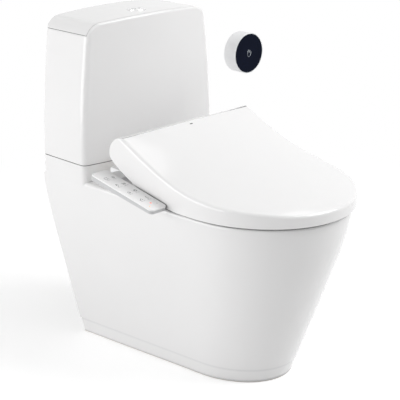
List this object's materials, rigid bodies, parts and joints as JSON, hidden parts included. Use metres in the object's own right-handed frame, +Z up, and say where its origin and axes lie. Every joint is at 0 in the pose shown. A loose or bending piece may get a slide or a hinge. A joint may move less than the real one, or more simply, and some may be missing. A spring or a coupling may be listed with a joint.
{
  "type": "smart toilet",
  "caption": "Floor-standing close-coupled toilet with skirted pan, tank, heated bidet seat with side control panel, and a round wall sensor.",
  "frame": {"origin": "on the floor, at the axis of the waste outlet", "axes": "+Z up, -Y to the front of the bowl, +Y to the wall, +X to the right of a viewer who faces the wall"},
  "size_m": [0.712, 0.671, 0.724],
  "materials": {
    "vitreous_china": "gloss",
    "lid_plastic": "gloss",
    "seat_plastic": "gloss",
    "housing_plastic": "satin",
    "panel_plastic": "satin",
    "key_plastic": "matt",
    "valve_plastic": "matt",
    "nut_plastic": "matt",
    "black_rubber": "matt",
    "grey_rubber": "matt",
    "stainless": "brushed",
    "chrome_plate": "polished",
    "brass_fitting": "plain",
    "circuit_board": "satin",
    "heater_film": "satin",
    "heater_case": "matt",
    "damper_steel": "satin",
    "motor_case": "satin",
    "dark_glass": "gloss",
    "sensor_plastic": "satin",
    "cell_wrap": "satin"
  },
  "bodies": {
    "toilet": {"pan": "vitreous_china", "outlet_seal": "black_rubber", "tank": "vitreous_china", "tank_seals": "black_rubber", "tank_bolts": "stainless", "tank_bolt_nuts": "stainless", "flush_valve_body": "valve_plastic", "flush_valve_nut": "nut_plastic", "fill_valve_body": "valve_plastic", "fill_valve_nut": "nut_plastic", "flush_actuator": "nut_plastic", "mounting_plate": "housing_plastic", "seat_fixing_bolts": "stainless", "seat_fixing_nuts": "nut_plastic", "base_lower_housing": "housing_plastic", "base_top_cover": "housing_plastic", "water_heater": "heater_case", "solenoid_valve": "nut_plastic", "water_inlet": "brass_fitting", "power_gland": "nut_plastic", "main_board": "circuit_board", "nozzle_cradle": "valve_plastic", "nozzle_motor": "motor_case", "seat_damper": "damper_steel", "lid_damper": "damper_steel", "panel_lower_shell": "panel_plastic", "panel_top_shell": "panel_plastic", "panel_board": "circuit_board", "sensor_housing": "sensor_plastic", "sensor_face": "dark_glass", "sensor_wall_plate": "sensor_plastic", "sensor_batteries": "cell_wrap"},
    "seat": {"seat_top_shell": "seat_plastic", "seat_bottom_shell": "seat_plastic", "seat_heater": "heater_film", "seat_bumpers": "grey_rubber", "seat_hinge_shaft": "stainless"},
    "lid": {"lid_shell": "lid_plastic", "lid_hinge_cover": "lid_plastic", "lid_bumpers": "grey_rubber", "lid_hinge_shaft": "stainless"},
    "tank_cover": {"tank_lid": "vitreous_china", "flush_button_housing": "chrome_plate"},
    "full_flush": {"full_flush_button": "chrome_plate", "full_flush_rod": "valve_plastic"},
    "half_flush": {"half_flush_button": "chrome_plate", "half_flush_rod": "valve_plastic"},
    "flush_valve": {"flush_valve_tube": "valve_plastic", "flush_valve_seal": "black_rubber"},
    "float": {"fill_valve_float": "nut_plastic"},
    "rear_wash": {"rear_wash_nozzle": "valve_plastic"},
    "front_wash": {"front_wash_nozzle": "valve_plastic"},
    "key_1": {"panel_key_1": "key_plastic"},
    "key_2": {"panel_key_2": "key_plastic"},
    "key_3": {"panel_key_3": "key_plastic"},
    "key_4": {"panel_key_4": "key_plastic"},
    "key_5": {"panel_key_5": "key_plastic"},
    "key_6": {"panel_key_6": "key_plastic"},
    "key_7": {"panel_key_7": "key_plastic"},
    "key_8": {"panel_key_8": "key_plastic"}
  },
  "joints": [
    {"name": "seat_hinge", "type": "hinge", "parent": "toilet", "child": "seat", "pos_m": [0, 0.048, 0.464], "axis": [-1, 0, 0], "range_deg": [0, 95]},
    {"name": "lid_hinge", "type": "hinge", "parent": "seat", "child": "lid", "pos_m": [0, 0.048, 0.464], "axis": [1, 0, 0], "range_deg": [-107, 0]},
    {"name": "tank_cover_lift", "type": "slide", "parent": "toilet", "child": "tank_cover", "axis": [0, 0, 1], "range_m": [0, 0.1]},
    {"name": "full_flush_press", "type": "slide", "parent": "tank_cover", "child": "full_flush", "axis": [0, 0, -1], "range_m": [0, 0.006], "stiffness_N_per_m": 400, "springref_m": -0.006},
    {"name": "half_flush_press", "type": "slide", "parent": "tank_cover", "child": "half_flush", "axis": [0, 0, -1], "range_m": [0, 0.006], "stiffness_N_per_m": 400, "springref_m": -0.006},
    {"name": "flush_valve_lift", "type": "slide", "parent": "toilet", "child": "flush_valve", "axis": [0, 0, 1], "range_m": [0, 0.015]},
    {"name": "float_rise", "type": "slide", "parent": "toilet", "child": "float", "axis": [0, 0, 1], "range_m": [0, 0.12]},
    {"name": "rear_wash_extend", "type": "slide", "parent": "toilet", "child": "rear_wash", "axis": [0, -0.9272, -0.3746], "range_m": [0, 0.062]},
    {"name": "front_wash_extend", "type": "slide", "parent": "toilet", "child": "front_wash", "axis": [0, -0.9272, -0.3746], "range_m": [0, 0.062]},
    {"name": "key_1_press", "type": "slide", "parent": "toilet", "child": "key_1", "axis": [0, 0.1857, -0.9826], "range_m": [0, 0.0006], "stiffness_N_per_m": 800, "springref_m": -0.001},
    {"name": "key_2_press", "type": "slide", "parent": "toilet", "child": "key_2", "axis": [0, 0.1857, -0.9826], "range_m": [0, 0.0006], "stiffness_N_per_m": 800, "springref_m": -0.001},
    {"name": "key_3_press", "type": "slide", "parent": "toilet", "child": "key_3", "axis": [0, 0.1857, -0.9826], "range_m": [0, 0.0006], "stiffness_N_per_m": 800, "springref_m": -0.001},
    {"name": "key_4_press", "type": "slide", "parent": "toilet", "child": "key_4", "axis": [0, 0.1857, -0.9826], "range_m": [0, 0.0006], "stiffness_N_per_m": 800, "springref_m": -0.001},
    {"name": "key_5_press", "type": "slide", "parent": "toilet", "child": "key_5", "axis": [0, 0.1857, -0.9826], "range_m": [0, 0.0006], "stiffness_N_per_m": 800, "springref_m": -0.001},
    {"name": "key_6_press", "type": "slide", "parent": "toilet", "child": "key_6", "axis": [0, 0.1857, -0.9826], "range_m": [0, 0.0006], "stiffness_N_per_m": 800, "springref_m": -0.001},
    {"name": "key_7_press", "type": "slide", "parent": "toilet", "child": "key_7", "axis": [0, 0.1857, -0.9826], "range_m": [0, 0.0006], "stiffness_N_per_m": 800, "springref_m": -0.001},
    {"name": "key_8_press", "type": "slide", "parent": "toilet", "child": "key_8", "axis": [0, 0.1857, -0.9826], "range_m": [0, 0.0006], "stiffness_N_per_m": 800, "springref_m": -0.001}
  ],
  "couplings": [
    {"joint": "flush_valve_lift", "follows": "full_flush_press", "ratio": 2.5}
  ]
}
